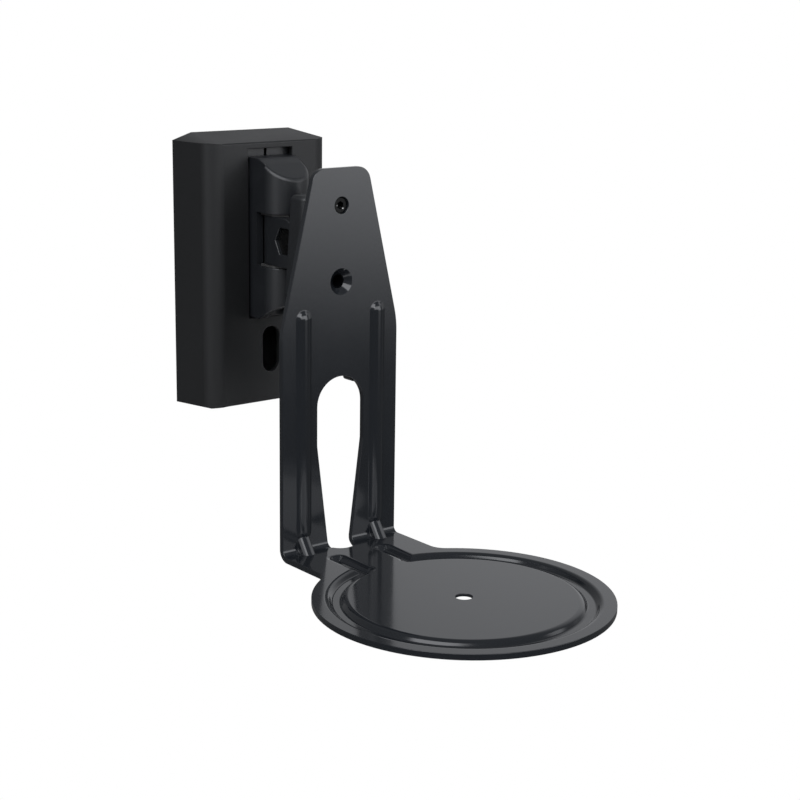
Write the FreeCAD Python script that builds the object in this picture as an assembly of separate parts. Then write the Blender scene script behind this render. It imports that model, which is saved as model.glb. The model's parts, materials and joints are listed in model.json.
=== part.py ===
import FreeCAD, Part
import math
import os

# Wall bracket for a compact loudspeaker. The wall is the plane y = 0, the room lies towards -Y, +Z is up,
# and z = 0 is the middle height of the wall plate. All sizes are millimetres.

# Wall plate
plate_sheet = 2.5
plate_half_width = 31.0
plate_half_height = 55.0
slot_inset_x = 8.0
slot_inset_z = 13.0
slot_width = 5.5
slot_length = 10.0
tab_half_width = 9.0
tab_reach = 17.0
tab_bend_inner = 1.5

# Moulded cover, which stands round the plate
cover_wall = 2.2
cover_depth = 23.5
cover_wall_gap = 0.3
cover_side_margin = 3.8
cover_side_draw = 4.73
cover_corner = 8.5
cover_side_rise = 2.4
cover_crown = 3.0
cover_front_fall = 3.4
cover_clip_width = 9.4
cover_hook_inset = 6.0
cover_hook_thickness = 2.0
cover_hook_depth = 7.0
cover_hook_drop = 4.0
hook_clearance = 0.2
cover_slot_half_width = 4.3
cover_slot_land = 4.6
cover_slot_length = 20.3
cover_opening_side_gap = 0.9
cover_opening_top_gap = 3.6
cover_opening_bottom_gap = 0.8

# Cover screw, driven up from below, with its head in a pocket
cover_screw_radius = 1.75
cover_screw_head_radius = 3.2
cover_screw_head_height = 1.8
cover_screw_slot_width = 1.0
cover_screw_slot_depth = 0.8
cover_screw_place = 9.5
cover_screw_past_tab = 2.0
cover_screw_web = 1.2
cover_screw_pocket_gap = 0.4
cover_boss_half_width = 5.2

# Hinge fork, a casting
hinge_z = 16.3
swivel_reach = 33.7
boss_half_width = 10.4
boss_top_gap = 4.2
nose_slope_start = 4.3
nose_slope = 0.55
recess_height = 23.0
recess_back = 5.5
recess_barrel_gap = 0.6
flange_half_width = 15.0
flange_thickness = 5.0
flange_margin = 1.0
flange_below_boss = 8.8
shoulder_behind_cover = 4.0
shoulder_margin = 0.5
shoulder_height = 6.0
shoulder_top_gap = 0.4
shoulder_slit = 1.4
shoulder_slit_depth = 3.0

# Two pegs of the casting, staked flush in the plate
fork_peg_radius = 3.5
fork_peg_inset = 8.0

# Swivel bolt and its washers
swivel_bolt_radius = 4.0
swivel_bolt_end = 9.0
swivel_head_radius = 6.5
swivel_head_height = 6.0
swivel_head_hex = 6.0
swivel_head_hex_depth = 3.2
counterbore_clearance = 0.5
lower_lip = 6.0
washer_hole_clearance = 0.25
thrust_washer_thickness = 0.9
thrust_washer_back_gap = 0.3
thrust_washer_clip = 5.0
axial_play = 0.1

# Knuckle between the fork and the tray bracket
barrel_radius = 8.5
running_clearance = 0.05
tilt_ahead = 11.9
tilt_rise = 0.7
cheek_nose = 8.0
knuckle_slot_floor = 5.4
hex_pocket_flats = 11.3
hex_pocket_depth = 4.0

# Tilt bolt, nut and washers
tilt_bolt_radius = 3.175
tilt_hex_flats = 11.1
tilt_nut_thickness = 2.4
tilt_bolt_past_nut = 0.4
tilt_head_height = 4.0
tilt_spring_thickness = 1.6
tilt_spring_radius = 6.1
tilt_spring_slit = 1.2
friction_washer_thickness = 0.5
friction_washer_half_width = 4.8

# Cast bracket on the back of the tray
tongue_half_width = 2.5
tongue_eye_radius = 5.0
tongue_root_half_height = 9.0
bracket_half_width = 11.5
bracket_wall = 2.5
bracket_corner = 5.5
bracket_top = 38.1
bracket_bottom = -4.2
bracket_rear_bottom = 5.1
bracket_rear_slope = 0.1024
bracket_top_chamfer = 1.4
web_ahead = 19.7
pad_half_width = 6.5
pad_top = 42.5
pad_corner = 3.0
yoke_thickness = 5.5
yoke_half_width = 10.5
yoke_top = 4.0
yoke_round = 3.0
leg_inner = 7.0
leg_crotch = -20.0
leg_end = -40.4
leg_round = 1.7

# Tray, one folded and pressed sheet
pad_thickness = 7.2
tray_sheet = 2.5
bend_inner = 2.5
upright_half_width = 29.6
upright_top = 50.5
upright_top_half_width = 13.57
upright_top_corner = 6.5
knee_height = -15.6
knee_round = 40.0
platform_top = -110.2
platform_radius = 60.0
neck_length = 21.84
platform_hole_radius = 3.45
platform_seat_radius = 7.0
platform_seat_depth = 1.2
neck_round = 8.0

# Pressed groove round the platform, with two straight ends up the neck
rim_width = 5.5
groove_width = 8.5
groove_floor = 3.0
groove_depth = 2.2
channel_place = 12.0
channel_width = 7.0
channel_floor = 2.6
channel_start = 11.8
channel_corner = 2.6

# Cable cut-out in the upright
cutout_head_radius = 12.0
cutout_head_z = -48.6
cutout_straight_end = -65.2
cutout_tail_half_width = 6.15

# Pressed ribs and gussets
rib_place = 19.0
rib_width = 7.6
rib_height = 1.6
rib_top = -6.7
rib_end_above_platform = 9.0
gusset_rise = 8.2
gusset_run = 5.8
gusset_top_width = 3.9
gusset_base_width = 5.8
gusset_shoulder = 1.5
gusset_edge = 1.2
gusset_dent_taper = 0.2

# Screws in the upright
upper_screw_z = 35.1
tray_hole_radius = 3.5
tray_screw_radius = 3.0
tray_screw_length = 8.0
tray_screw_recess = 1.0
tray_screw_hex = 3.0
tray_screw_hex_depth = 2.2
lower_screw_z = 3.5
sink_radius = 5.6
sink_hole_radius = 3.1
lower_thread_radius = 2.55

# Places that follow from the sizes above
past = 1.0
plate_front = -plate_sheet
slot_half_spacing_x = plate_half_width - slot_inset_x
slot_half_spacing_z = plate_half_height - slot_inset_z
swivel_y = -swivel_reach
tilt_y = swivel_y - tilt_ahead
tilt_z = hinge_z + tilt_rise
web_front = tilt_y - web_ahead
tray_back = web_front - pad_thickness
tray_face = tray_back - tray_sheet
platform_bottom = platform_top - tray_sheet
platform_y = tray_face - neck_length - platform_radius
groove_outer = platform_radius - rim_width
groove_inner = groove_outer - groove_width
boss_top = plate_half_height - boss_top_gap
boss_bottom = 2 * hinge_z - boss_top
recess_top = hinge_z + recess_height / 2
recess_bottom = hinge_z - recess_height / 2
barrel_top = recess_top - thrust_washer_thickness - axial_play
barrel_bottom = recess_bottom + thrust_washer_thickness + axial_play
counterbore_top = recess_bottom - lower_lip
washer_hole = swivel_bolt_radius + washer_hole_clearance
tilt_bore = tilt_bolt_radius + running_clearance
slot_half_gap = tongue_half_width + axial_play + friction_washer_thickness
flange_top = plate_half_height - flange_margin
flange_bottom = boss_bottom - flange_below_boss
tab_top = -plate_half_height + plate_sheet
cover_front = -cover_depth
cover_back_half_width = plate_half_width + cover_side_margin
cover_front_half_width = cover_back_half_width - cover_side_draw
cover_side_half_height = plate_half_height + cover_side_rise
cover_back_half_height = cover_side_half_height + cover_crown
cover_front_half_height = cover_back_half_height - cover_front_fall
cover_clip_back = cover_back_half_width - cover_clip_width
cover_hook_place = plate_half_width - cover_hook_inset
cover_opening_top = boss_top + cover_opening_top_gap
cover_opening_bottom = boss_bottom - cover_opening_bottom_gap
cover_slot_top = cover_opening_bottom - cover_slot_land
cover_screw_seat = -plate_half_height - cover_screw_web
rib_radius = (rib_width ** 2 / 4 + rib_height ** 2) / (2 * rib_height)
rib_axis_y = tray_face + rib_radius - rib_height

X = FreeCAD.Vector(1, 0, 0)
Y = FreeCAD.Vector(0, 1, 0)
Z = FreeCAD.Vector(0, 0, 1)


def in_xy(z):
    """Places outline points (a, b) in the level plane at height z."""
    return lambda a, b: FreeCAD.Vector(a, b, z)


def in_xz(y):
    """Places outline points (a, b) in the upright plane parallel to the wall."""
    return lambda a, b: FreeCAD.Vector(a, y, b)


def in_yz(x):
    """Places outline points (a, b) in the upright plane square to the wall."""
    return lambda a, b: FreeCAD.Vector(x, a, b)


def rounded_outline(corners, place):
    """Closed wire through corners (a, b, radius), with an arc where the radius is not zero."""
    edges = []
    starts = []
    ends = []
    mids = []
    count = len(corners)
    for i, (a, b, radius) in enumerate(corners):
        before = corners[i - 1]
        after = corners[(i + 1) % count]
        back = FreeCAD.Vector(before[0] - a, before[1] - b, 0).normalize()
        ahead = FreeCAD.Vector(after[0] - a, after[1] - b, 0).normalize()
        corner = FreeCAD.Vector(a, b, 0)
        half = back.getAngle(ahead) / 2
        run = radius / math.tan(half) if radius else 0
        starts.append(corner + back * run)
        ends.append(corner + ahead * run)
        inward = (back + ahead).normalize() if radius else FreeCAD.Vector()
        mids.append(corner + inward * (radius / math.sin(half) - radius))
    for i in range(count):
        start, end, mid = (place(p.x, p.y) for p in (starts[i], ends[i], mids[i]))
        if corners[i][2]:
            edges.append(Part.Arc(start, mid, end).toShape())
        following = starts[(i + 1) % count]
        if (following - ends[i]).Length > 1e-6:
            edges.append(Part.makeLine(end, place(following.x, following.y)))
    return Part.Wire(edges)


def prism(corners, place, along):
    """Solid made by pushing a rounded outline along a vector."""
    return Part.Face(rounded_outline(corners, place)).extrude(along)


def block(x0, x1, y0, y1, z0, z1):
    """Box between two corners."""
    return Part.makeBox(x1 - x0, y1 - y0, z1 - z0, FreeCAD.Vector(x0, y0, z0))


def rod(radius, length, base, along):
    """Cylinder that starts at base."""
    return Part.makeCylinder(radius, length, base, along)


def hexagon(flats, length, base, along, corner_direction):
    """Hexagonal prism with one corner in the given direction."""
    reach = flats / math.sqrt(3)
    points = []
    for step in range(7):
        turn = FreeCAD.Rotation(along, 60 * step)
        points.append(base + turn.multVec(corner_direction * reach))
    return Part.Face(Part.makePolygon(points)).extrude(along * length)


def joined(first, *others):
    """Several solids fused into one."""
    return first.fuse(list(others)).removeSplitter()


def fork_pegs():
    """Two pegs at the back of the casting, near the ends of the nose; also their holes in the plate."""
    pegs = []
    for z in (boss_bottom + fork_peg_inset, boss_top - fork_peg_inset):
        pegs.append(rod(fork_peg_radius, plate_sheet, FreeCAD.Vector(0, 0, z), -Y))
    return pegs


def countersink(radius, hole_radius, y, z, along):
    """Right-angled countersink in the middle plane, with its wide end at y and z."""
    return Part.makeCone(radius, hole_radius, radius - hole_radius, FreeCAD.Vector(0, y, z), along)


def wall_plate():
    """Steel plate with slots, two peg holes and a tab folded forward at the bottom."""
    w = plate_half_width
    h = plate_half_height
    plate = block(-w, w, plate_front, 0, -h, h)
    outer_bend = tab_bend_inner + plate_sheet
    tab = [
        (0, -h, outer_bend),
        (-tab_reach, -h, 0),
        (-tab_reach, tab_top, 0),
        (plate_front, tab_top, tab_bend_inner),
        (plate_front, tab_top + outer_bend, 0),
        (0, tab_top + outer_bend, 0),
    ]
    notch = block(-tab_half_width, tab_half_width, plate_front, 0, -h, tab_top + tab_bend_inner)
    plate = plate.cut(notch)
    plate = joined(plate, prism(tab, in_yz(-tab_half_width), X * 2 * tab_half_width))
    for x in (-slot_half_spacing_x, slot_half_spacing_x):
        for z in (-slot_half_spacing_z, slot_half_spacing_z):
            half = slot_length / 2
            r = slot_width / 2
            slot = [(x - half, z - r, r), (x + half, z - r, r), (x + half, z + r, r), (x - half, z + r, r)]
            plate = plate.cut(prism(slot, in_xz(0), -Y * plate_sheet))
    screw = FreeCAD.Vector(0, -cover_screw_place, -h)
    return plate.cut(fork_pegs()).cut(rod(cover_screw_radius, plate_sheet, screw, Z))


def beyond(corner, second, third, inset, size):
    """Block outside the plane through three points, after the plane is moved inwards by the inset."""
    normal = (second - corner).cross(third - corner).normalize()
    if normal.dot(corner) < 0:
        normal = -normal
    slab = Part.makeBox(size, size, size, FreeCAD.Vector(-size / 2, -size / 2, 0))
    turn = FreeCAD.Rotation(Z, normal)
    slab.Placement = FreeCAD.Placement(corner - normal * inset, turn)
    return slab


def hood(inset):
    """Outer form of the cover, or with an inset the hollow inside it."""
    back = past
    front = cover_front + inset
    draft = (cover_back_half_width - cover_front_half_width) / cover_depth
    side_back = cover_back_half_width - inset + draft * back
    side_front = cover_back_half_width - inset + draft * front
    plan = [
        (-side_back, back, 0),
        (-side_front, front, cover_corner - inset),
        (side_front, front, cover_corner - inset),
        (side_back, back, 0),
    ]
    tall = cover_back_half_height + past
    body = prism(plan, in_xy(-tall), Z * 2 * tall)
    for up in (-1, 1):
        ridge = FreeCAD.Vector(0, 0, up * cover_back_half_height)
        lip = FreeCAD.Vector(0, cover_front, up * cover_front_half_height)
        body = body.cut(beyond(ridge, lip, lip + X, inset, 4 * tall))
        for side in (-1, 1):
            shoulder = FreeCAD.Vector(side * cover_clip_back, 0, up * cover_back_half_height)
            outer = FreeCAD.Vector(side * cover_back_half_width, 0, up * cover_side_half_height)
            tip = FreeCAD.Vector(side * cover_front_half_width, cover_front, up * cover_front_half_height)
            body = body.cut(beyond(shoulder, outer, tip, inset, 4 * tall))
    return body


def cover_hook(x):
    """Rib inside the top of the cover that rests on the plate's upper edge and drops in front of it."""
    top = cover_back_half_height - cover_wall / 2
    front = plate_front - hook_clearance
    profile = [
        (-cover_wall_gap, plate_half_height, 0),
        (front, plate_half_height, 0),
        (front, plate_half_height - cover_hook_drop, 0),
        (-cover_hook_depth, plate_half_height - cover_hook_drop, 0),
        (-cover_hook_depth, top - past, 0),
        (-cover_wall_gap, top, 0),
    ]
    return prism(profile, in_yz(x - cover_hook_thickness / 2), X * cover_hook_thickness)


def wall_cover():
    """Drafted hood with the hinge opening, the slot below it, two hooks and a screw boss."""
    outside = hood(0)
    tall = cover_back_half_height + past
    wide = cover_back_half_width + past
    b = cover_boss_half_width
    y = -cover_screw_place
    boss = block(-b, b, y - b, y + b, -tall, -plate_half_height).common(outside)
    hooks = cover_hook(-cover_hook_place).fuse(cover_hook(cover_hook_place)).common(outside)
    shell = joined(outside.cut(hood(cover_wall)), boss, hooks)
    shell = shell.cut(block(-wide, wide, -cover_wall_gap, 2 * past, -tall, tall))
    side = boss_half_width + cover_opening_side_gap
    front = cover_front - past
    inside = cover_front + cover_wall + past
    shell = shell.cut(block(-side, side, front, inside, cover_opening_bottom, cover_opening_top))
    r = cover_slot_half_width
    low = cover_slot_top - cover_slot_length
    slot = [(-r, low, r), (r, low, r), (r, cover_slot_top, r), (-r, cover_slot_top, r)]
    shell = shell.cut(prism(slot, in_xz(front), Y * (inside - front)))
    seat = FreeCAD.Vector(0, y, cover_screw_seat)
    pocket = rod(cover_screw_head_radius + cover_screw_pocket_gap, tall + cover_screw_seat, seat, -Z)
    return shell.cut(pocket).cut(rod(cover_screw_radius, cover_screw_web, seat, Z))


def cover_screw():
    """Slotted screw from below, through the boss into the tab of the plate."""
    seat = FreeCAD.Vector(0, -cover_screw_place, cover_screw_seat)
    head = rod(cover_screw_head_radius, cover_screw_head_height, seat, -Z)
    length = cover_screw_web + plate_sheet + cover_screw_past_tab
    shank = rod(cover_screw_radius, length, seat, Z)
    r = cover_screw_head_radius
    under = seat.z - cover_screw_head_height
    half = cover_screw_slot_width / 2
    slot = block(-r, r, seat.y - half, seat.y + half, under, under + cover_screw_slot_depth)
    return joined(head, shank).cut(slot)


def nose():
    """Round-fronted upright bar that slopes away at both ends."""
    w = boss_half_width
    plan = [(-w, plate_front, 0), (-w, swivel_y - w, w), (w, swivel_y - w, w), (w, plate_front, 0)]
    body = prism(plan, in_xy(boss_bottom), Z * (boss_top - boss_bottom))
    start = swivel_y + nose_slope_start
    end = swivel_y - w - past
    drop = nose_slope * (start - end)
    for level, way in ((boss_top, -1), (boss_bottom, 1)):
        wedge = [(start, level, 0), (end, level, 0), (end, level + way * drop, 0)]
        body = body.cut(prism(wedge, in_yz(-w - past), X * 2 * (w + past)))
    return body


def shoulder():
    """Block on the flange that fills the gap of the cover above the nose, with a slit in the middle."""
    half = flange_half_width - shoulder_margin
    front = cover_front + shoulder_behind_cover
    top = cover_opening_top - shoulder_top_gap
    body = block(-half, half, front, plate_front, top - shoulder_height, top)
    slit = shoulder_slit / 2
    return body.cut(block(-slit, slit, front, front + shoulder_slit_depth, boss_top, top))


def hinge_fork():
    """Casting with a flange on the plate and a nose whose recess takes the knuckle."""
    f = flange_half_width
    flange = block(-f, f, plate_front - flange_thickness, plate_front, flange_bottom, flange_top)
    body = joined(nose(), flange, shoulder(), *fork_pegs())
    side = boss_half_width + past
    end = swivel_y - side
    body = body.cut(block(-side, side, end, swivel_y + recess_back, recess_bottom, recess_top))
    axis = FreeCAD.Vector(0, swivel_y, recess_bottom)
    body = body.cut(rod(barrel_radius + recess_barrel_gap, recess_height, axis, Z))
    below = FreeCAD.Vector(0, swivel_y, boss_bottom - past)
    hole_top = boss_top - swivel_bolt_end
    body = body.cut(rod(washer_hole, recess_bottom - below.z, below, Z))
    body = body.cut(rod(swivel_bolt_radius, hole_top - recess_top, FreeCAD.Vector(0, swivel_y, recess_top), Z))
    counterbore = swivel_head_radius + counterbore_clearance
    return body.cut(rod(counterbore, counterbore_top - below.z, below, Z))


def swivel_bolt():
    """Socket head bolt that goes up through the lower knuckle, the barrel and the upper knuckle."""
    seat = FreeCAD.Vector(0, swivel_y, counterbore_top)
    shank = rod(swivel_bolt_radius, boss_top - swivel_bolt_end - counterbore_top, seat, Z)
    head = rod(swivel_head_radius, swivel_head_height, seat, -Z)
    base = seat - Z * swivel_head_height
    return joined(shank, head).cut(hexagon(swivel_head_hex, swivel_head_hex_depth, base, Z, X))


def thrust_washer(bottom):
    """Thin washer with a straight rear edge, which the back of the recess keeps from turning."""
    r = barrel_radius
    rear = swivel_y + recess_back - thrust_washer_back_gap
    clip = thrust_washer_clip
    outline = [
        (-r, rear, 0),
        (-r, swivel_y - r + clip, 0),
        (clip - r, swivel_y - r, 0),
        (r - clip, swivel_y - r, 0),
        (r, swivel_y - r + clip, 0),
        (r, rear, 0),
    ]
    plate = prism(outline, in_xy(bottom), Z * thrust_washer_thickness)
    return plate.cut(rod(washer_hole, thrust_washer_thickness, FreeCAD.Vector(0, swivel_y, bottom), Z))


def swivel_knuckle():
    """Barrel with two cheeks; the left cheek has the hexagon pocket of the nut."""
    r = barrel_radius
    end = tilt_y - cheek_nose
    height = barrel_top - barrel_bottom
    side = [
        (swivel_y, barrel_bottom, 0),
        (end, barrel_bottom, cheek_nose),
        (end, barrel_top, cheek_nose),
        (swivel_y, barrel_top, 0),
    ]
    barrel = rod(r, height, FreeCAD.Vector(0, swivel_y, barrel_bottom), Z)
    body = joined(barrel, prism(side, in_yz(-r), X * 2 * r))
    floor = tilt_y + knuckle_slot_floor
    g = slot_half_gap
    body = body.cut(block(-g, g, end - past, floor, barrel_bottom, barrel_top))
    bore = swivel_bolt_radius + running_clearance
    body = body.cut(rod(bore, height, FreeCAD.Vector(0, swivel_y, barrel_bottom), Z))
    body = body.cut(rod(tilt_bore, 2 * r, FreeCAD.Vector(-r, tilt_y, tilt_z), X))
    pocket = hexagon(hex_pocket_flats, hex_pocket_depth, FreeCAD.Vector(-r, tilt_y, tilt_z), X, Y)
    return body.cut(pocket)


def on_tilt(x):
    """Point on the tilt axis."""
    return FreeCAD.Vector(x, tilt_y, tilt_z)


def tilt_bolt():
    """Hexagon bolt along the tilt axis, with its head outside the right cheek."""
    nut_outside = -barrel_radius + hex_pocket_depth - tilt_nut_thickness
    left = nut_outside - tilt_bolt_past_nut
    head_seat = barrel_radius + tilt_spring_thickness
    shank = rod(tilt_bolt_radius, head_seat - left, on_tilt(left), X)
    head = hexagon(tilt_hex_flats, tilt_head_height, on_tilt(head_seat), X, Y)
    return joined(shank, head)


def tilt_nut():
    """Thin nut held in the hexagon pocket."""
    outside = -barrel_radius + hex_pocket_depth - tilt_nut_thickness
    nut = hexagon(tilt_hex_flats, tilt_nut_thickness, on_tilt(outside), X, Y)
    return nut.cut(rod(tilt_bolt_radius, tilt_nut_thickness, on_tilt(outside), X))


def tilt_spring_washer():
    """Split washer between the right cheek and the bolt head."""
    washer = rod(tilt_spring_radius, tilt_spring_thickness, on_tilt(barrel_radius), X)
    washer = washer.cut(rod(tilt_bore, tilt_spring_thickness, on_tilt(barrel_radius), X))
    slit = block(
        barrel_radius,
        barrel_radius + tilt_spring_thickness,
        tilt_y - tilt_spring_slit / 2,
        tilt_y + tilt_spring_slit / 2,
        tilt_z,
        tilt_z + tilt_spring_radius + past,
    )
    return washer.cut(slit)


def friction_washer(inside):
    """Thin square washer between a cheek and the tongue; inside is its left face."""
    h = friction_washer_half_width
    t = friction_washer_thickness
    plate = block(inside, inside + t, tilt_y - h, tilt_y + h, tilt_z - h, tilt_z + h)
    return plate.cut(rod(tilt_bore, t, on_tilt(inside), X))


def tilt_bracket():
    """Casting with an open hood and a tongue on the tilt axis, fixed to the back plate."""
    w = bracket_half_width
    rear = tilt_y - bracket_rear_bottom
    height = bracket_top - bracket_bottom
    c = bracket_corner
    outer = [(-w, rear, 0), (-w, web_front, c), (w, web_front, c), (w, rear, 0)]
    body = prism(outer, in_xy(bracket_bottom), Z * height)
    rim = [e for e in body.Edges if e.BoundBox.ZMin > bracket_top - 0.01 and e.BoundBox.YMin < rear - 0.01]
    body = body.makeChamfer(bracket_top_chamfer, rim)
    t = bracket_wall
    inner = [
        (t - w, rear + past, 0),
        (t - w, web_front + t, c - t),
        (w - t, web_front + t, c - t),
        (w - t, rear + past, 0),
    ]
    body = body.cut(prism(inner, in_xy(bracket_bottom - past), Z * (height - t + past)))
    slope_end = rear - bracket_rear_slope * (height + past)
    wedge = [(rear, bracket_bottom, 0), (rear, bracket_top + past, 0), (slope_end, bracket_top + past, 0)]
    body = body.cut(prism(wedge, in_yz(-w - past), X * 2 * (w + past)))
    web_rear = web_front + t
    root = tongue_root_half_height
    eye = tongue_eye_radius
    tongue = [
        (tilt_y, tilt_z - eye, 0),
        (web_rear - past, tilt_z - root, 0),
        (web_rear - past, tilt_z + root, 0),
        (tilt_y, tilt_z + eye, 0),
    ]
    body = joined(
        body,
        prism(tongue, in_yz(-tongue_half_width), X * 2 * tongue_half_width),
        rod(eye, 2 * tongue_half_width, on_tilt(-tongue_half_width), X),
    )
    return body.cut(rod(tilt_bore, 2 * tongue_half_width, on_tilt(-tongue_half_width), X))


def back_plate():
    """Flat plate against the tray, with a raised pad for the bracket and two legs."""
    w = yoke_half_width
    g = leg_inner
    outline = [
        (-w, yoke_top, yoke_round),
        (w, yoke_top, yoke_round),
        (w, leg_end, leg_round),
        (g, leg_end, leg_round),
        (g, leg_crotch, g),
        (-g, leg_crotch, g),
        (-g, leg_end, leg_round),
        (-w, leg_end, leg_round),
    ]
    p = pad_half_width
    pad = [(-p, bracket_bottom, 0), (p, bracket_bottom, 0), (p, pad_top, pad_corner), (-p, pad_top, pad_corner)]
    body = joined(
        prism(outline, in_xz(tray_back), Y * yoke_thickness),
        prism(pad, in_xz(tray_back), Y * (web_front - tray_back)),
    )
    thread = FreeCAD.Vector(0, tray_back, upper_screw_z)
    body = body.cut(rod(tray_screw_radius, tray_screw_thread_length(), thread, Y))
    lower = FreeCAD.Vector(0, tray_back, lower_screw_z)
    return body.cut(rod(lower_thread_radius, web_front - tray_back, lower, Y))


def tray_screw_thread_length():
    """Length of the socket screw that lies in the bracket."""
    return tray_screw_length - (tray_sheet - tray_screw_recess)


def tray_screw():
    """Socket set screw in the upper hole of the tray, threaded into the pad."""
    face = FreeCAD.Vector(0, tray_face + tray_screw_recess, upper_screw_z)
    body = rod(tray_screw_radius, tray_screw_length, face, Y)
    return body.cut(hexagon(tray_screw_hex, tray_screw_hex_depth, face, Y, Z))


def upright():
    """Flat part of the tray that stands behind the speaker."""
    w = upright_half_width
    foot = platform_top + bend_inner
    outline = [
        (-w, foot, 0),
        (w, foot, 0),
        (w, knee_height, knee_round),
        (upright_top_half_width, upright_top, upright_top_corner),
        (-upright_top_half_width, upright_top, upright_top_corner),
        (-w, knee_height, knee_round),
    ]
    return prism(outline, in_xz(tray_face), Y * tray_sheet)


def bend():
    """Quarter round that joins the upright and the platform."""
    centre_y = tray_face - bend_inner
    centre_z = platform_top + bend_inner
    base = FreeCAD.Vector(-upright_half_width, centre_y, centre_z)
    outer = rod(bend_inner + tray_sheet, 2 * upright_half_width, base, X)
    inner = rod(bend_inner, 2 * upright_half_width, base, X)
    quarter = block(
        -upright_half_width,
        upright_half_width,
        centre_y,
        tray_back,
        platform_bottom,
        centre_z,
    )
    return outer.cut(inner).common(quarter)


def platform():
    """Round platform with a straight neck and hollow rounds where they meet."""
    w = upright_half_width
    r = platform_radius
    n = neck_round
    rear = tray_face - bend_inner
    round_y = platform_y + math.sqrt((r + n) ** 2 - (w + n) ** 2)
    scale = r / (r + n)
    meet_x = (w + n) * scale
    meet_y = platform_y + (round_y - platform_y) * scale
    middle = FreeCAD.Vector(meet_x - w - n, meet_y - round_y, 0)
    inward = (middle.normalize() + FreeCAD.Vector(-1, 0, 0)).normalize() * n
    z = platform_bottom

    def at(x, y):
        return FreeCAD.Vector(x, y, z)

    edges = [
        Part.makeLine(at(-w, rear), at(w, rear)),
        Part.makeLine(at(w, rear), at(w, round_y)),
        Part.Arc(at(w, round_y), at(w + n + inward.x, round_y + inward.y), at(meet_x, meet_y)).toShape(),
        Part.Arc(at(meet_x, meet_y), at(0, platform_y - r), at(-meet_x, meet_y)).toShape(),
        Part.Arc(at(-meet_x, meet_y), at(-w - n - inward.x, round_y + inward.y), at(-w, round_y)).toShape(),
        Part.makeLine(at(-w, round_y), at(-w, rear)),
    ]
    return Part.Face(Part.Wire(edges)).extrude(Z * tray_sheet)


def groove(top, spread):
    """Ring with two straight ends; spread widens it for the underside of the pressed sheet."""
    middle = (groove_outer + groove_inner) / 2
    lip = (groove_outer - groove_inner) / 2 + spread
    floor = groove_floor / 2 + spread
    deep = top - groove_depth
    section = Part.makePolygon([
        FreeCAD.Vector(middle - lip, platform_y, top),
        FreeCAD.Vector(middle + lip, platform_y, top),
        FreeCAD.Vector(middle + floor, platform_y, deep),
        FreeCAD.Vector(middle - floor, platform_y, deep),
        FreeCAD.Vector(middle - lip, platform_y, top),
    ])
    open_angle = math.degrees(math.asin(channel_place / middle))
    centre = FreeCAD.Vector(0, platform_y, 0)
    section.rotate(centre, Z, 90 + open_angle)
    solid = Part.Face(section).revolve(centre, Z, 360 - 2 * open_angle)
    pieces = []
    end_y = platform_y + middle * math.cos(math.radians(open_angle))
    start_y = tray_face - channel_start
    for x in (-channel_place, channel_place):
        pieces.append(Part.makeCone(floor, lip, groove_depth, FreeCAD.Vector(x, end_y, deep)))
        wires = []
        for level, width, corner in ((deep, channel_floor, 0), (top, channel_width, channel_corner)):
            half = width / 2 + spread
            back = start_y + spread - (channel_width - width) / 2
            c = corner + spread if corner else channel_floor / 4
            outline = [(x - half, end_y, 0), (x + half, end_y, 0), (x + half, back, c), (x - half, back, c)]
            wires.append(rounded_outline(outline, in_xy(level)))
        pieces.append(Part.makeLoft(wires, True, True))
    return solid.fuse(pieces)


def rib_bar(x, inset):
    """Round bar whose front stands out of the sheet; with an inset, the hollow behind the rib."""
    radius = rib_radius - inset
    lower = FreeCAD.Vector(x, rib_axis_y, platform_top + rib_end_above_platform)
    return rod(radius, rib_top - rib_width / 2 - lower.z, lower, Z)


def rib(x):
    """Pressed rib with round ends."""
    lower = FreeCAD.Vector(x, rib_axis_y, platform_top + rib_end_above_platform)
    upper = FreeCAD.Vector(x, rib_axis_y, rib_top - rib_width / 2)
    return joined(rib_bar(x, 0), Part.makeSphere(rib_radius, upper), Part.makeSphere(rib_radius, lower))


def gusset(x, inset):
    """Slanting ridge across the bend; with an inset, the dent behind it."""
    length = math.hypot(gusset_rise, gusset_run)
    along = FreeCAD.Vector(0, -gusset_run / length, -gusset_rise / length)
    down = FreeCAD.Vector(0, gusset_rise / length, -gusset_run / length)
    start = FreeCAD.Vector(x, tray_face, platform_top + gusset_rise) + down * inset - along * gusset_rise
    top = gusset_top_width / 2 - inset * gusset_dent_taper
    base = gusset_base_width / 2 - inset * gusset_dent_taper
    edge = 0 if inset else gusset_edge
    section = [
        (-top, 0, edge),
        (top, 0, edge),
        (base, gusset_shoulder, 0),
        (base, length, 0),
        (-base, length, 0),
        (-base, gusset_shoulder, 0),
    ]
    return prism(section, lambda a, b: start + X * a + down * b, along * (length + 2 * gusset_rise))


def cutout():
    """Pear shaped cable cut-out that runs on round the bend."""
    r = cutout_head_radius
    t = cutout_tail_half_width
    outline = [
        (-t, platform_bottom - past, 0),
        (t, platform_bottom - past, 0),
        (t, platform_top, 0),
        (r, cutout_straight_end, r),
        (r, cutout_head_z + r, r),
        (-r, cutout_head_z + r, r),
        (-r, cutout_straight_end, r),
        (-t, platform_top, 0),
    ]
    upper = prism(outline, in_xz(tray_face - bend_inner), Y * (bend_inner + tray_sheet + past))
    end = FreeCAD.Vector(0, tray_face, platform_bottom - past)
    lower = rod(t, tray_sheet + 2 * past, end, Z)
    return joined(upper, lower)


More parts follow.
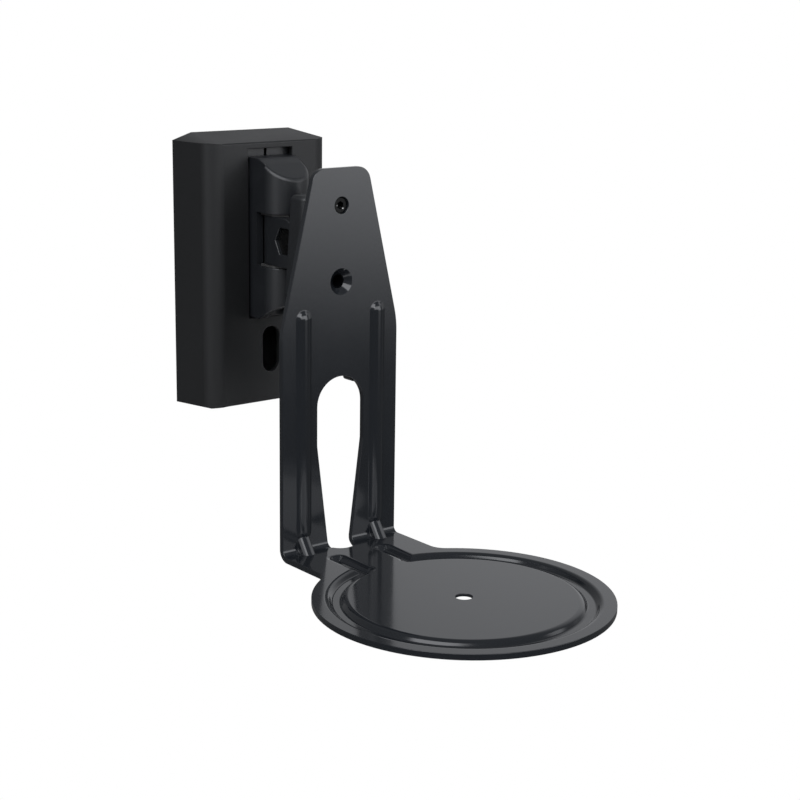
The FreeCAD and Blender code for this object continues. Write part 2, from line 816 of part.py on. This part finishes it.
def speaker_tray():
    """Folded sheet with pressed groove, ribs and gussets, and every opening in it."""
    sheet = joined(upright(), bend(), platform())
    wall_angle = math.atan2(groove_depth, (groove_outer - groove_inner - groove_floor) / 2)
    spread = tray_sheet * math.tan(wall_angle / 2)
    w = upright_half_width
    in_front = block(-w, w, tray_face - 2 * rib_height, tray_face + past, platform_top, upright_top)
    behind = block(-w, w, tray_face - past, tray_back, platform_top, upright_top)
    corner_front = block(
        -w, w, tray_face - gusset_rise, tray_face + past, platform_top - past, platform_top + 2 * gusset_rise
    )
    corner_back = block(
        -w, w, tray_face - gusset_rise, tray_back, platform_bottom, platform_top + gusset_rise
    )
    ridges = [groove(platform_bottom, spread)]
    hollows = [groove(platform_top, 0), cutout()]
    for x in (-rib_place, rib_place):
        ridges.append(rib(x).common(in_front))
        ridges.append(gusset(x, 0).common(corner_front))
        hollows.append(rib_bar(x, tray_sheet).common(behind))
        hollows.append(gusset(x, tray_sheet).common(corner_back))
    sheet = joined(sheet, *ridges).cut(hollows)
    hole = FreeCAD.Vector(0, platform_y, platform_bottom)
    sheet = sheet.cut(rod(platform_hole_radius, tray_sheet, hole, Z))
    sheet = sheet.cut(rod(platform_seat_radius, platform_seat_depth, hole, Z))
    upper = FreeCAD.Vector(0, tray_face, upper_screw_z)
    sheet = sheet.cut(rod(tray_hole_radius, tray_sheet, upper, Y))
    lower = FreeCAD.Vector(0, tray_face, lower_screw_z)
    sheet = sheet.cut(rod(sink_hole_radius, tray_sheet, lower, Y))
    sheet = sheet.cut(countersink(sink_radius, sink_hole_radius, tray_face, lower_screw_z, Y))
    return sheet


def save(name, shape):
    """Writes one piece and stops on a shape that is not whole."""
    if not shape.isValid() or len(shape.Solids) != 1:
        raise ValueError(name + " is not one valid solid")
    shape.Solids[0].exportStep("parts/" + name + ".step")


os.makedirs("parts", exist_ok=True)
save("wall_plate", wall_plate())
save("wall_cover", wall_cover())
save("cover_screw", cover_screw())
save("hinge_fork", hinge_fork())
save("swivel_bolt", swivel_bolt())
save("thrust_washer_lower", thrust_washer(recess_bottom))
save("thrust_washer_upper", thrust_washer(recess_top - thrust_washer_thickness))
save("swivel_knuckle", swivel_knuckle())
save("tilt_bolt", tilt_bolt())
save("tilt_nut", tilt_nut())
save("tilt_spring_washer", tilt_spring_washer())
save("friction_washer_left", friction_washer(-slot_half_gap))
save("friction_washer_right", friction_washer(slot_half_gap - friction_washer_thickness))
save("tilt_bracket", tilt_bracket())
save("back_plate", back_plate())
save("tray_screw", tray_screw())
save("speaker_tray", speaker_tray())
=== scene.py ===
import json
from math import radians, sin

import bmesh
import bpy
from mathutils import Matrix, Vector


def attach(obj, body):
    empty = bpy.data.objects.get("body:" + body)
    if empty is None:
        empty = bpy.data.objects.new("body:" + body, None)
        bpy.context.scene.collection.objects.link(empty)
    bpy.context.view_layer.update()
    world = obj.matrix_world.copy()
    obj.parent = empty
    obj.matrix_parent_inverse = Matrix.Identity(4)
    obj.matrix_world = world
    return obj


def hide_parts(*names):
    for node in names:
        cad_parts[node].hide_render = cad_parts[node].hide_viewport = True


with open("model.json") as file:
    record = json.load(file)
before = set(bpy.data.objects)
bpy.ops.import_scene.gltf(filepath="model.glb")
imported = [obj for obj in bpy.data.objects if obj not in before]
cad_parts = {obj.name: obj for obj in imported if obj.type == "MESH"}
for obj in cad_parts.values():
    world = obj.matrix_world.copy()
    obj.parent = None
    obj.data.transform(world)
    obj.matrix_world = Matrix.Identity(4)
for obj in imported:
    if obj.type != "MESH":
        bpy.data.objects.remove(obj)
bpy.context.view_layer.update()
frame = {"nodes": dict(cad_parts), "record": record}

NODES = frame["nodes"]
SLOTS = {part["node"]: part["material_slot"] for part in frame["record"]["subparts"]}

# Camera, fitted to the photograph
EYE = Vector((-0.42193, -0.64185, 0.12453))
TURN_RIGHT = radians(38.684)
TILT_DOWN = radians(13.616)
ROLL = radians(0.787)
FOCAL_MM = 77.766
SENSOR_MM = 36.0

# Joining triangles into whole faces: corners this close are one, and this angle still counts as flat
SAME_PLACE = 0.000002
STILL_FLAT = radians(0.3)

# Rounding: the least angle of a rounded edge, on a copy and on a node that stays, and the
# largest angle that is shaded as smooth
SHARP = radians(30.0)
SHARP_ON_NODE = radians(32.0)
SMOOTH = radians(40.0)

# How far off a corner may lie and still count as on a level, on the line or at the foot of a
# ridge, or on a radius, and how far off a level the two ends of an edge may lie together
LEVEL_SLACK = 0.00003
RIDGE_SLACK = 0.00002
RADIUS_SLACK = 0.0001
EDGE_SLACK = 0.00004

# Widths by which the edges of three nodes that stay are rounded
SOFT_EDGES = {
    "swivel_knuckle": 0.0004,
    "tilt_bracket": 0.0004,
    "back_plate": 0.00015,
}

# Tray: the platform and its groove, and how far their edges are rounded
PLATFORM_MIDDLE = Vector((0.0, -0.15684))
PLATFORM_TOP = -0.1102
GROOVE_FLOOR = -0.1124
SHOULDER_ROUNDING = 0.0013
FLOOR_ROUNDING = 0.0006
CUT_ROUNDING = 0.0002

# Where the edges of the ring lie, as distances from the platform's middle, and those of the two
# channels, as distances from the middle plane and places along the neck
RING_REACH = (0.043, 0.057)
CHANNEL_ASIDE = (0.0075, 0.0165)
CHANNEL_ALONG = (-0.113, -0.084)

# Pressed groove: the radii of its floor and of its shoulders, and how far each one is moved
# sideways so that the walls of the copy stand steeper
GROOVE_MIDDLE = 0.05025
GROOVE_FLOOR_HALF = 0.0015
FLOOR_MOVE = 0.0002
GROOVE_HALF = 0.00425
SHOULDER_MOVE = -0.0006
MOVE_REACH = 0.0020

# The countersunk hole, whose edges stay sharp, and how far from its axis the painted shade on the face behind
# it starts to darken and is fully dark
SINK_MIDDLE = Vector((0.0, -0.0738, 0.0035))
SINK_REACH = 0.0064
HOLE_SHADE_FADE = (0.0040, 0.0033)

# Tray screw: two painted glints, small bright metallic spots on the rim of the socket, and how wide they are
GLINT_PLACES = (Vector((-0.0014, 0.0, 0.0350)), Vector((0.0013, 0.0, 0.0337)))
GLINT_REACH = 0.00042

# Gusset: its distance from the middle, where its top ends, and how far its ridge is raised
GUSSET_PLACE = 0.019
GUSSET_TOP = -0.1035
RIDGE_RISE = (0.0, -0.00021, 0.00015)
RIDGE_FOOT_RISE = (0.0, -0.00031, 0.0)

# How the flat top of a gusset is told from other faces: how far its middle may lie aside, its
# least area, how its normal points outward and upward, and where its ridge lies along the neck
GUSSET_ASIDE = 0.0002
GUSSET_LEAST_AREA = 0.00001
GUSSET_OUTWARD = -0.7
GUSSET_UPWARD = (0.5, 0.65)
GUSSET_ALONG = (-0.0812, -0.076)

# Fork: its nose, the plain edges of the casting in front of the cover, and the share of an
# edge's direction along the upright from which it is left sharp
NOSE_FRONT = -0.030
NOSE_LOW = 0.036
NOSE_ROUNDING = 0.0014
CAST_ROUNDING = 0.0004
BEFORE_COVER = -0.0236
UPRIGHT = 0.99

# Cover: its front, how far out its outer edges start, and how far out those of its openings end
COVER_FRONT = -0.0234
COVER_EDGE_ASIDE = 0.022
COVER_EDGE_ENDWAYS = 0.0565
COVER_OPENING_ASIDE = 0.018
COVER_OPENING_ENDWAYS = 0.0563
COVER_EDGE_ROUNDING = 0.0008
COVER_OPENING_ROUNDING = 0.0003

# The blacks lean a little to blue
COOL = (0.86, 1.0, 1.22)

# Surroundings, white to the camera
FLOOR_Z = -1.6
FLOOR_HALF = 1.5
FLOOR_GREY = 0.82
FLOOR_MOTTLE = 0.02
WHITE = 1.0
WHITE_OF_FLOOR = 0.8
WHITE_IN_GLOSS = 0.06
LIGHT_TINT = (0.985, 1.0, 1.035)

# Even light from all sides, what is added to it above the level of the lamps, and the two
# heights in degrees between which that and the lamps fade in
LOW_LIGHT = 0.07
UPPER_LIGHT = 0.11
LAMPS_START = -13.3
LAMPS_FULL = -3.5

# Soft boxes in the sky: degrees right of straight out of the wall, degrees up, half its width
# and height in degrees, the degrees over which its edge fades, and its brightness
SOFT_BOXES = (
    ("key", 38.5, 5.5, 12.0, 18.0, 6.0, 2.78),
    ("key_left", 7.0, 14.0, 21.0, 12.0, 7.0, 3.1),
    ("left", -44.0, 38.0, 33.0, 17.0, 6.0, 4.1),
    ("over_left", -72.0, 60.0, 20.0, 9.0, 6.0, 4.2),
    ("far_left", -78.0, 3.0, 14.0, 16.0, 8.0, 1.6),
    ("right", 62.0, 31.0, 11.0, 9.0, 6.0, 1.5),
    ("side", 78.0, 6.0, 12.0, 14.0, 8.0, 0.5),
    ("behind", 125.0, 20.0, 22.0, 23.0, 24.0, 0.53),
)

# Each box shows only in its own half of the sky, in full from this share along its middle
SOFT_BOX_AHEAD = 0.1


class Field:
    """A value over a surface. Sums on it add the Math nodes that work it out."""

    def __init__(self, tree, socket):
        self.tree = tree
        self.socket = socket

    def make(self, kind, settings, inputs, output=0):
        """Adds a node: its settings first, then the values or links of its sockets."""
        node = self.tree.nodes.new("ShaderNode" + kind)
        for name, value in settings.items():
            setattr(node, name, value)
        for name, value in inputs.items():
            if isinstance(value, Field):
                self.tree.links.new(value.socket, node.inputs[name])
            else:
                node.inputs[name].default_value = value
        return Field(self.tree, node.outputs[output])

    def maths(self, operation, first, second=0.0):
        """Adds one Math node."""
        return self.make("Math", {"operation": operation}, {0: first, 1: second})

    def __add__(self, other):
        return self.maths("ADD", self, other)

    def __radd__(self, other):
        return self.maths("ADD", other, self)

    def __sub__(self, other):
        return self.maths("SUBTRACT", self, other)

    def __rsub__(self, other):
        return self.maths("SUBTRACT", other, self)

    def __mul__(self, other):
        return self.maths("MULTIPLY", self, other)

    def __rmul__(self, other):
        return self.maths("MULTIPLY", other, self)

    def along(self, direction):
        """How far this direction goes along another one."""
        return self.make("VectorMath", {"operation": "DOT_PRODUCT"}, {0: self, 1: direction}, 1)

    def blended(self, dark, light):
        """Colour between two colours, with this value as the share of the second."""
        inputs = {"Factor": self, 6: dark, 7: light}
        return self.make("Mix", {"data_type": "RGBA", "blend_type": "MIX"}, inputs, 2)

    def held(self, low, high, out_low, out_high):
        """This value, carried from one range to another and held inside it."""
        inputs = {"Value": self, "From Min": low, "From Max": high, "To Min": out_low, "To Max": out_high}
        return self.make("MapRange", {"clamp": True}, inputs)

    def faded(self, none, full):
        """Goes softly from 0 to 1 as this value goes from none to full."""
        inputs = {"Value": self, "From Min": none, "From Max": full}
        return self.make("MapRange", {"interpolation_type": "SMOOTHSTEP"}, inputs)


class Finish:
    """A material under construction, with patterns laid out in metres on the object."""

    def __init__(self, name):
        self.material = bpy.data.materials.new(name)
        self.material.use_nodes = True
        self.tree = self.material.node_tree
        self.tree.nodes.clear()
        self.start = Field(self.tree, None)
        coordinates = self.tree.nodes.new("ShaderNodeTexCoord")
        self.place = Field(self.tree, coordinates.outputs["Object"])

    def noise(self, scale, detail=2.0, rough=0.5, place=None):
        """Soft noise whose grains are about one over scale metres wide."""
        inputs = {"Vector": place or self.place, "Scale": scale, "Detail": detail, "Roughness": rough}
        return self.start.make("TexNoise", {}, inputs)

    def stretched(self, x, y, z):
        """Coordinates scaled along each axis."""
        inputs = {"Vector": self.place, "Scale": (x, y, z)}
        return self.start.make("Mapping", {"vector_type": "POINT"}, inputs)

    def axis_reach(self, middle):
        """Distance from an axis that runs out of the wall through a place."""
        flat = self.start.make("VectorMath", {"operation": "MULTIPLY"}, {0: self.place, 1: (1.0, 0.0, 1.0)})
        centre = (middle.x, 0.0, middle.z)
        return self.start.make("VectorMath", {"operation": "DISTANCE"}, {0: flat, 1: centre}, 1)

    def bump(self, height, strength, distance):
        """Normal that follows a height."""
        inputs = {"Strength": strength, "Distance": distance, "Height": height}
        return self.start.make("Bump", {}, inputs)

    def shade(self, colour, roughness, normal, **others):
        """Closes the material with its surface shader."""
        inputs = {"Base Color": colour, "Roughness": roughness, "Normal": normal, **others}
        surface = self.start.make("BsdfPrincipled", {}, inputs)
        self.close(surface)
        return self.material

    def close(self, surface):
        """Links a shader to the material's output."""
        output = self.tree.nodes.new("ShaderNodeOutputMaterial")
        self.tree.links.new(surface.socket, output.inputs["Surface"])


def grey(level, tint=(1.0, 1.0, 1.0)):
    """Opaque grey, tinted if a tint is given."""
    return tuple(level * part for part in tint) + (1.0,)


def tray_coating():
    """Smooth charcoal coating, semi-gloss, with a faint orange peel."""
    f = Finish("tray_coating")
    cloud = f.noise(60.0, 3.0)
    peel = f.noise(900.0, 1.0)
    speck = f.noise(5200.0, 1.0)
    colour = cloud.blended(grey(0.0080, COOL), grey(0.0100, COOL))
    roughness = cloud.held(0.3, 0.7, 0.105, 0.125) + speck.held(0.4, 0.7, 0.0, 0.012)
    normal = f.bump(peel + speck * 0.15, 0.02, 0.0002)
    return f.shade(colour, roughness, normal, IOR=1.5)


def cast_coating():
    """Satin black coating on the castings, coarser than on the sheet, with painted shade round the axis of
    the spare hole behind the countersink.
    """
    f = Finish("cast_coating")
    cloud = f.noise(90.0, 3.0)
    grain = f.noise(2600.0, 2.0)
    skin = f.noise(420.0, 2.0)
    # Painted shade: near the spare hole's axis the coating turns darker, rougher and metallic, so the face
    # seen through the countersink reads dark.
    painted_hole_shade = f.axis_reach(SINK_MIDDLE).faded(*HOLE_SHADE_FADE)
    colour = (cloud - painted_hole_shade).blended(grey(0.0055, COOL), grey(0.0080, COOL))
    satin = grain.held(0.35, 0.65, 0.36, 0.44) + cloud.held(0.35, 0.65, 0.0, 0.04)
    roughness = satin + painted_hole_shade * 0.5
    normal = f.bump(grain + skin * 0.6, 0.10, 0.0003)
    return f.shade(colour, roughness, normal, Metallic=painted_hole_shade, IOR=1.5)


def cover_plastic():
    """Satin black moulded plastic with a fine spark-eroded grain."""
    f = Finish("cover_plastic")
    cloud = f.noise(40.0, 3.0)
    grain = f.noise(3200.0, 2.0, 0.6)
    wear_and_glint = f.noise(14.0, 4.0, 0.6, f.stretched(1.0, 1.0, 0.35))
    colour = cloud.blended(grey(0.0018, COOL), grey(0.0030, COOL))
    roughness = grain.held(0.35, 0.65, 0.45, 0.51) + wear_and_glint.held(0.40, 0.65, 0.0, 0.05)
    normal = f.bump(grain, 0.12, 0.0002)
    return f.shade(colour, roughness, normal, IOR=1.46)


def zinc_plate():
    """Zinc plated sheet with a soft, slightly mottled sheen."""
    f = Finish("zinc_plate")
    mottle = f.noise(420.0, 4.0, 0.6)
    brush = f.noise(700.0, 2.0, 0.5, f.stretched(0.1, 1.0, 1.0))
    colour = mottle.blended(grey(0.44, (0.97, 1.0, 1.03)), grey(0.53, (0.98, 1.0, 1.02)))
    roughness = mottle.held(0.3, 0.7, 0.31, 0.39)
    normal = f.bump(brush, 0.06, 0.0002)
    return f.shade(colour, roughness, normal, Metallic=1.0)


def bright_steel():
    """Bright plated steel of the split washer."""
    f = Finish("bright_steel")
    turning = f.noise(1500.0, 2.0, 0.5, f.stretched(1.0, 1.0, 0.2))
    colour = turning.blended(grey(0.44), grey(0.56))
    roughness = turning.held(0.3, 0.7, 0.24, 0.34)
    normal = f.bump(turning, 0.05, 0.0001)
    return f.shade(colour, roughness, normal, Metallic=1.0)


def black_screw():
    """Black oxide on steel, with a low dark sheen and two painted glints of bright bare steel beside the
    socket.
    """
    f = Finish("black_screw")
    cloud = f.noise(700.0, 3.0)
    # Painted glints: two small bright metallic spots on the screw's face at the rim of the socket.
    left, right = (f.axis_reach(place).faded(GLINT_REACH, GLINT_REACH * 0.4) for place in GLINT_PLACES)
    wear_and_glint = left + right
    colour = wear_and_glint.blended(cloud.blended(grey(0.0020), grey(0.0045)), grey(0.42))
    roughness = cloud.held(0.3, 0.7, 0.24, 0.36)
    normal = f.bump(cloud, 0.04, 0.0002)
    return f.shade(colour, roughness, normal, Metallic=wear_and_glint, IOR=1.2)


def bearing_plastic():
    """Dark grey acetal of the thrust and friction washers."""
    f = Finish("bearing_plastic")
    cloud = f.noise(500.0, 2.0)
    colour = cloud.blended(grey(0.030), grey(0.045))
    roughness = cloud.held(0.3, 0.7, 0.35, 0.45)
    normal = f.bump(cloud, 0.03, 0.0002)
    return f.shade(colour, roughness, normal)


FINISHES = {
    "tray_coating": tray_coating,
    "cast_coating": cast_coating,
    "cover_plastic": cover_plastic,
    "zinc_plate": zinc_plate,
    "bright_steel": bright_steel,
    "black_screw": black_screw,
    "bearing_plastic": bearing_plastic,
}


def dress_parts():
    """Gives each carried-over node the finish of its slot."""
    made = {slot: make() for slot, make in FINISHES.items()}
    for name, node in NODES.items():
        node.data.materials.clear()
        node.data.materials.append(made[SLOTS[name]])


def soften(name, width):
    """Rounds the sharp edges of a carried-over node, whose faces are first joined into one skin."""
    node = NODES[name]
    skin = node.modifiers.new("one_skin", "WELD")
    skin.merge_threshold = SAME_PLACE
    faces = node.modifiers.new("whole_faces", "DECIMATE")
    faces.decimate_type = "DISSOLVE"
    faces.angle_limit = STILL_FLAT
    faces.delimit = set()
    edge = node.modifiers.new("soft_edges", "BEVEL")
    edge.width = width
    edge.segments = 3
    edge.limit_method = "ANGLE"
    edge.angle_limit = SHARP_ON_NODE
    edge.loop_slide = False
    edge.harden_normals = True
    edge.use_clamp_overlap = False
    even = node.modifiers.new("even_shading", "WEIGHTED_NORMAL")
    even.keep_sharp = False
    even.weight = 100


def opened_copy(node_name, name):
    """Copy of a carried-over node with its triangles joined into whole faces, left open in edit mode."""
    node = NODES[node_name]
    bpy.ops.object.select_all(action="DESELECT")
    node.select_set(True)
    bpy.context.view_layer.objects.active = node
    bpy.ops.object.duplicate()
    piece = bpy.context.object
    piece.name = name
    bpy.ops.mesh.customdata_custom_splitnormals_clear()
    bpy.ops.object.mode_set(mode="EDIT")
    bpy.ops.mesh.select_all(action="SELECT")
    bpy.ops.mesh.remove_doubles(threshold=SAME_PLACE)
    bpy.ops.mesh.dissolve_limited(angle_limit=STILL_FLAT, delimit=set())
    return piece


def round_edges(piece, width, segments, wanted):
    """Bevels the sharp edges of the open piece that wanted() accepts."""
    bpy.ops.mesh.select_mode(type="EDGE")
    bpy.ops.mesh.select_all(action="DESELECT")
    skin = bmesh.from_edit_mesh(piece.data)
    for edge in skin.edges:
        if edge.is_manifold and edge.calc_face_angle() > SHARP:
            first, second = (corner.co for corner in edge.verts)
            if wanted(first, second):
                edge.select_set(True)
    bmesh.update_edit_mesh(piece.data)
    bpy.ops.mesh.bevel(offset=width, segments=segments, affect="EDGES", clamp_overlap=False, loop_slide=False)


def closed_copy(piece, node_name, body):
    """Leaves edit mode, evens the shading and puts the piece in the node's place."""
    bpy.ops.object.mode_set(mode="OBJECT")
    bpy.ops.object.shade_smooth_by_angle(angle=SMOOTH)
    even = piece.modifiers.new("even_shading", "WEIGHTED_NORMAL")
    even.keep_sharp = True
    even.weight = 100
    bpy.ops.object.modifier_apply(modifier=even.name)
    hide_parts(node_name)
    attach(piece, body)


def pick_corners(piece, wanted):
    """Selects the corners of the open piece whose place wanted() accepts."""
    bpy.ops.mesh.select_mode(type="VERT")
    bpy.ops.mesh.select_all(action="DESELECT")
    skin = bmesh.from_edit_mesh(piece.data)
    for corner in skin.verts:
        if wanted(corner.co):
            corner.select_set(True)
    skin.select_flush_mode()
    bmesh.update_edit_mesh(piece.data)


def between(value, ends):
    """Whether a value lies between two ends."""
    return ends[0] < value < ends[1]


def from_platform_middle(place):
    """Level distance from the middle of the platform."""
    return (Vector((place.x, place.y)) - PLATFORM_MIDDLE).length


def steepen_groove(tray):
    """Moves the corners of the groove sideways, so that its walls stand steeper."""
    middle = (PLATFORM_MIDDLE.x, PLATFORM_MIDDLE.y, PLATFORM_TOP)

    def moved(place):
        """How much larger the distance from the platform's middle becomes, as a share."""
        aside = from_platform_middle(place) - GROOVE_MIDDLE
        on_floor = abs(place.z - GROOVE_FLOOR) < LEVEL_SLACK
        on_top = abs(place.z - PLATFORM_TOP) < LEVEL_SLACK
        if on_floor and abs(aside) < GROOVE_FLOOR_HALF + RADIUS_SLACK:
            move = FLOOR_MOVE * aside / GROOVE_FLOOR_HALF
        elif on_top and abs(aside) < GROOVE_HALF + RADIUS_SLACK:
            share = max(0.0, 1.0 - (GROOVE_HALF - abs(aside)) / MOVE_REACH)
            move = SHOULDER_MOVE * share * (1.0 if aside > 0.0 else -1.0)
        else:
            return 1.0
        return round(1.0 + move / from_platform_middle(place), 4)

    corners = bmesh.from_edit_mesh(tray.data).verts
    places = {tuple(corner.co): moved(corner.co) for corner in corners}
    for share in sorted(set(places.values()) - {1.0}):
        pick_corners(tray, lambda place: places.get(tuple(place)) == share)
        bpy.ops.transform.resize(value=(share, share, 1.0), center_override=middle)


def raise_ridge(tray, side):
    """Gives the flat top of one gusset a low ridge, as pressed metal has."""
    middle = side * GUSSET_PLACE
    bpy.ops.mesh.select_mode(type="FACE")
    bpy.ops.mesh.select_all(action="DESELECT")
    skin = bmesh.from_edit_mesh(tray.data)
    for face in skin.faces:
        near = abs(face.calc_center_median().x - middle) < GUSSET_ASIDE
        large = face.calc_area() > GUSSET_LEAST_AREA
        if near and large and face.normal.y < GUSSET_OUTWARD and between(face.normal.z, GUSSET_UPWARD):
            face.select_set(True)
    bmesh.update_edit_mesh(tray.data)
    bpy.ops.mesh.bisect(plane_co=(middle, 0.0, 0.0), plane_no=(1.0, 0.0, 0.0))

    def on_ridge(place):
        return abs(place.x - middle) < RIDGE_SLACK and between(place.y, GUSSET_ALONG)

    pick_corners(tray, lambda place: on_ridge(place) and abs(place.z - PLATFORM_TOP) < RIDGE_SLACK)
    bpy.ops.transform.translate(value=RIDGE_FOOT_RISE)
    pick_corners(tray, lambda place: on_ridge(place) and abs(place.z - GUSSET_TOP) < LEVEL_SLACK)
    bpy.ops.transform.translate(value=RIDGE_RISE)


def pressed_tray():
    """The folded sheet, with the soft shoulders of a pressed groove and slightly rolled cut edges."""
    tray = opened_copy("speaker_tray", "tray_sheet")

    def groove_edge(level):
        def in_channel(place):
            return between(abs(place.x), CHANNEL_ASIDE) and between(place.y, CHANNEL_ALONG)

        def wanted(first, second):
            flat = abs(first.z - level) + abs(second.z - level) < EDGE_SLACK
            ring = all(between(from_platform_middle(p), RING_REACH) for p in (first, second))
            return flat and (ring or (in_channel(first) and in_channel(second)))

        return wanted

    def outside_sink(first, second):
        return any((p - SINK_MIDDLE).length > SINK_REACH for p in (first, second))

    steepen_groove(tray)
    raise_ridge(tray, -1)
    raise_ridge(tray, 1)
    round_edges(tray, SHOULDER_ROUNDING, 6, groove_edge(PLATFORM_TOP))
    round_edges(tray, FLOOR_ROUNDING, 3, groove_edge(GROOVE_FLOOR))
    round_edges(tray, CUT_ROUNDING, 3, outside_sink)
    closed_copy(tray, "speaker_tray", "tray")


def cast_fork():
    """The fork casting, with a well rounded nose and lightly broken edges."""
    fork = opened_copy("hinge_fork", "fork_casting")

    def on_nose(first, second):
        return all(p.y < NOSE_FRONT and p.z > NOSE_LOW for p in (first, second))

    def before_cover(first, second):
        upright = (first - second).normalized().z
        return all(p.y < BEFORE_COVER for p in (first, second)) and abs(upright) < UPRIGHT

    round_edges(fork, NOSE_ROUNDING, 5, on_nose)
    round_edges(fork, CAST_ROUNDING, 3, before_cover)
    closed_copy(fork, "hinge_fork", "wall_side")


def moulded_cover():
    """The cover, with a soft edge round its front and lightly broken edges at its openings."""
    cover = opened_copy("wall_cover", "cover_shell")

    def round_front(first, second):
        front = all(p.y < COVER_FRONT for p in (first, second))
        aside = all(abs(p.x) > COVER_EDGE_ASIDE for p in (first, second))
        endways = all(abs(p.z) > COVER_EDGE_ENDWAYS for p in (first, second))
        return front and (aside or endways)

    def at_opening(place):
        inside = abs(place.x) < COVER_OPENING_ASIDE and abs(place.z) < COVER_OPENING_ENDWAYS
        return inside and place.y < COVER_FRONT

    def round_opening(first, second):
        return at_opening(first) and at_opening(second)

    round_edges(cover, COVER_EDGE_ROUNDING, 4, round_front)
    round_edges(cover, COVER_OPENING_ROUNDING, 3, round_opening)
    closed_copy(cover, "wall_cover", "wall_side")


def floor():
    """Plain pale floor well below the bracket; it keeps the shadow, and shows white in the picture."""
    bpy.ops.mesh.primitive_plane_add(size=2 * FLOOR_HALF, location=(0.0, 0.0, FLOOR_Z))
    plane = bpy.context.object
    plane.name = "floor"
    f = Finish("pale_floor")
    grain = f.noise(3.0, 3.0)
    tone = grain.blended(grey(FLOOR_GREY * (1.0 - FLOOR_MOTTLE)), grey(FLOOR_GREY * (1.0 + FLOOR_MOTTLE)))
    paint = f.start.make("BsdfDiffuse", {}, {"Color": tone})
    white = f.start.make("Emission", {}, {"Color": grey(1.0), "Strength": WHITE})
    f.close(f.start.make("MixShader", {}, {0: seen_white(f.tree, WHITE_OF_FLOOR), 1: paint, 2: white}))
    plane.data.materials.append(f.material)


def seen_white(tree, camera_share):
    """Share of white that each kind of ray sees: the camera's, through clear things, and in gloss."""
    rays = tree.nodes.new("ShaderNodeLightPath").outputs
    camera_ray = Field(tree, rays["Is Camera Ray"])
    clear_ray = Field(tree, rays["Is Transmission Ray"])
    gloss_ray = Field(tree, rays["Is Glossy Ray"])
    return camera_ray * camera_share + clear_ray * camera_share + gloss_ray * WHITE_IN_GLOSS


def soft_box(way, azimuth, elevation, half_width, half_height, edge):
    """Share of a soft box seen along a direction: 1 in its middle, fading out over its edge."""
    facing = Matrix.Rotation(radians(azimuth), 3, "Z") @ Matrix.Rotation(-radians(elevation), 3, "X")
    share = way.along(facing @ Vector((0.0, -1.0, 0.0))).faded(0.0, SOFT_BOX_AHEAD)
    for axis, half in (((1.0, 0.0, 0.0), half_width), ((0.0, 0.0, 1.0), half_height)):
        aside = way.along(facing @ Vector(axis))
        aside = aside.maths("ARCSINE", aside)
        aside = aside.maths("ABSOLUTE", aside)
        share = share * aside.faded(radians(half + edge * 0.5), radians(half - edge * 0.5))
    return share


def sky():
    """White backdrop to the camera; for all else soft boxes over a low even light."""
    world = bpy.data.worlds.new("studio")
    bpy.context.scene.world = world
    world.use_nodes = True
    tree = world.node_tree
    tree.nodes.clear()
    start = Field(tree, None)
    way = Field(tree, tree.nodes.new("ShaderNodeTexCoord").outputs["Generated"])
    rise = start.make("SeparateXYZ", {}, {0: way}, 2)
    lamps = 0.0
    for _, azimuth, elevation, half_width, half_height, edge, brightness in SOFT_BOXES:
        lamps = lamps + soft_box(way, azimuth, elevation, half_width, half_height, edge) * brightness
    above = rise.faded(sin(radians(LAMPS_START)), sin(radians(LAMPS_FULL)))
    strength = (lamps + UPPER_LIGHT) * above + LOW_LIGHT
    light = start.make("Background", {}, {"Color": LIGHT_TINT + (1.0,), "Strength": strength})
    white = start.make("Background", {}, {"Color": grey(1.0), "Strength": WHITE})
    mixed = start.make("MixShader", {}, {0: seen_white(tree, 1.0), 1: light, 2: white})
    output = tree.nodes.new("ShaderNodeOutputWorld")
    tree.links.new(mixed.socket, output.inputs["Surface"])


def camera():
    """Camera, placed as fitted to the photograph."""
    lens = bpy.data.cameras.new("camera")
    lens.lens = FOCAL_MM
    lens.sensor_width = SENSOR_MM
    holder = bpy.data.objects.new("camera", lens)
    turn = Matrix.Rotation(-TURN_RIGHT, 4, "Z")
    tilt = Matrix.Rotation(radians(90.0) - TILT_DOWN, 4, "X")
    roll = Matrix.Rotation(ROLL, 4, "Z")
    holder.matrix_world = Matrix.Translation(EYE) @ turn @ tilt @ roll
    bpy.context.scene.collection.objects.link(holder)
    bpy.context.scene.camera = holder


bpy.ops.object.select_all(action="DESELECT")
dress_parts()
floor()
sky()
camera()
for name, width in SOFT_EDGES.items():
    soften(name, width)
pressed_tray()
cast_fork()
moulded_cover()
bpy.context.scene.view_settings.view_transform = "Standard"
